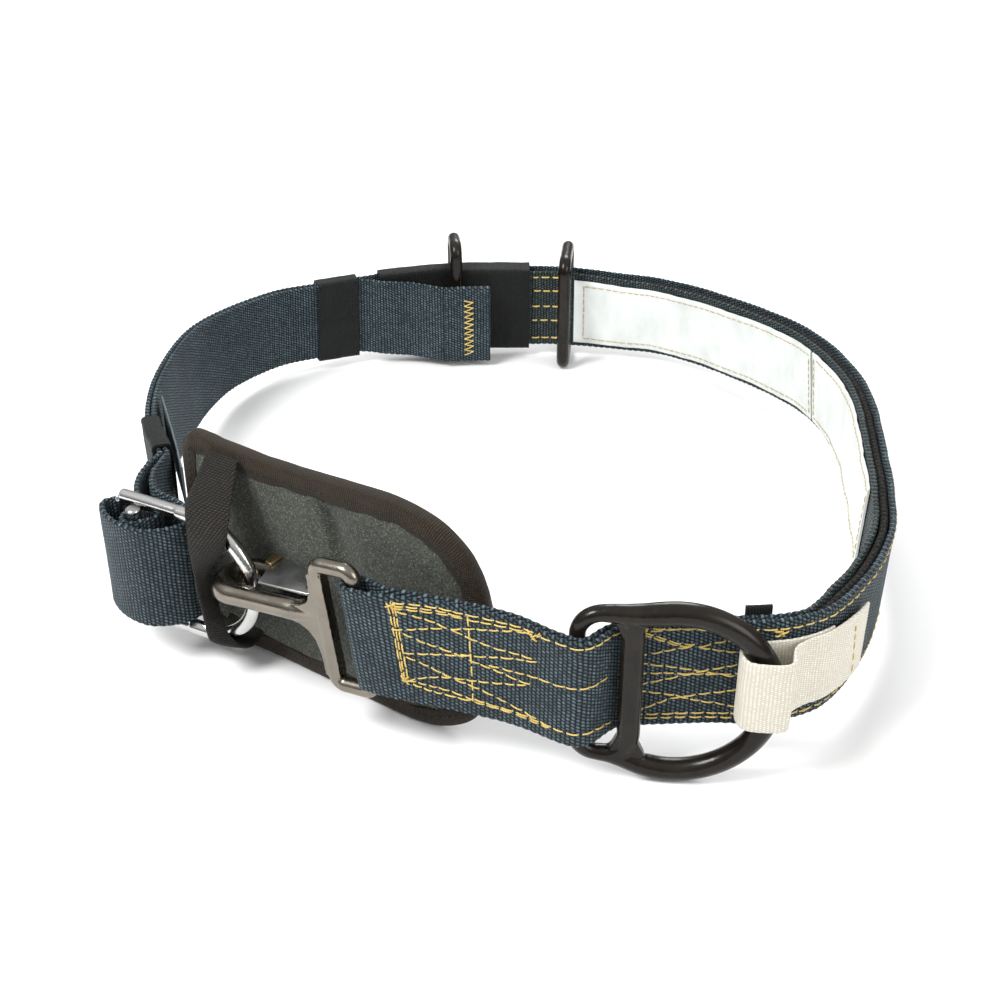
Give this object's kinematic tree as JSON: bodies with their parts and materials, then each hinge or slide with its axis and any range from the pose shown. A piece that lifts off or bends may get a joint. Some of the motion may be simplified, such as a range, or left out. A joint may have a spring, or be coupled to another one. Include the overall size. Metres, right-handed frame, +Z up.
{
  "type": "escape belt",
  "caption": "Webbing waist belt on its edge, with a padded snap hook fastened to a slide adjuster, a large D-ring, back rings, a stiffened right side and a felt hook pad.",
  "frame": {"origin": "middle of the base of the box round the whole belt, on the surface that it stands on", "axes": "+Z up, +X to the wearer's left as the belt is seen from its front, +Y from the hook side to the back"},
  "size_m": [0.3278, 0.3763, 0.0961],
  "materials": {
    "webbing": "ribbed navy webbing",
    "dark_webbing": "black-brown tape",
    "core": "black stiffener",
    "felt": "grey-green felt",
    "binding": "brown-black bias tape",
    "label_vinyl": "white vinyl",
    "cream_tape": "cream tape",
    "satin_steel": "satin cast steel",
    "bright_steel": "bright plated steel",
    "dark_steel": "dark gloss coating"
  },
  "bodies": {
    "belt": {"main_webbing": "webbing", "adjusting_webbing": "webbing", "right_lining": "webbing", "tail_tab": "webbing", "sleeve_left": "dark_webbing", "sleeve_right": "dark_webbing", "keeper_back": "dark_webbing", "keeper_left": "dark_webbing", "pad_strap": "dark_webbing", "right_core": "core", "pad_felt": "felt", "pad_binding": "binding", "label_front": "label_vinyl", "label_back": "label_vinyl", "stow_strap": "cream_tape", "card": "cream_tape", "hook_body": "satin_steel", "gate_pin": "satin_steel", "adjuster_frame": "bright_steel", "knurled_bar": "bright_steel", "d_ring": "dark_steel", "ring_back_left": "dark_steel", "ring_back_right": "dark_steel"},
    "gate": {"hook_gate": "bright_steel"}
  },
  "joints": [
    {"name": "gate_hinge", "type": "hinge", "parent": "belt", "child": "gate", "pos_m": [-0.07359, -0.1378, 0.04915], "axis": [-0.1154, 0.0263, 0.993], "range_deg": [0, 12], "stiffness_Nm_per_rad": 0.1, "springref_deg": -17.19}
  ]
}
